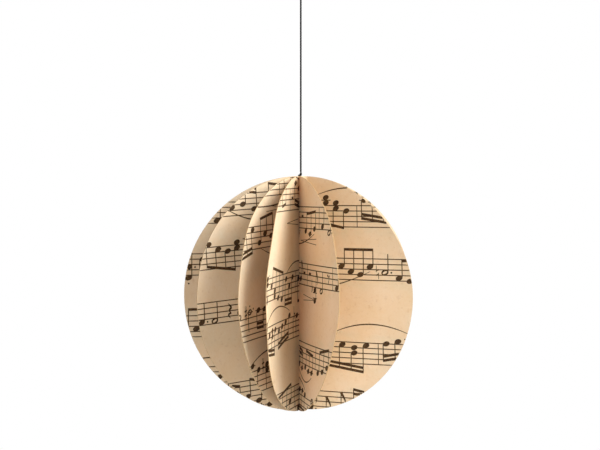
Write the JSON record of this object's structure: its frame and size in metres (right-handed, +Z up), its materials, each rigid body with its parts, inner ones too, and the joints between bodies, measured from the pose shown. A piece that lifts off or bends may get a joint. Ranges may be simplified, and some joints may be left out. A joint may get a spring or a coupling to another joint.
{
  "type": "hanging paper ball ornament",
  "caption": "Ball of round printed paper discs, sewn through along one diameter and fanned into upright leaves, hanging on a thin black thread that ends in a loop.",
  "frame": {"origin": "inside top of the hanging loop, where a hook or twig carries it", "axes": "+Z up along the hanging thread, +X to the right and -Y towards the viewer of the picture"},
  "size_m": [0.0776, 0.0783, 0.1563],
  "materials": {
    "music_paper": "matte",
    "black_thread": "matte"
  },
  "bodies": {
    "root": {"paper_disc_1": "music_paper", "paper_disc_2": "music_paper", "paper_disc_3": "music_paper", "paper_disc_4": "music_paper", "paper_disc_5": "music_paper", "paper_disc_6": "music_paper", "seam_thread": "black_thread", "seam_start_knot": "black_thread", "top_knot": "black_thread", "hanging_thread": "black_thread", "loop_knot": "black_thread", "hanging_loop": "black_thread"}
  },
  "joints": []
}
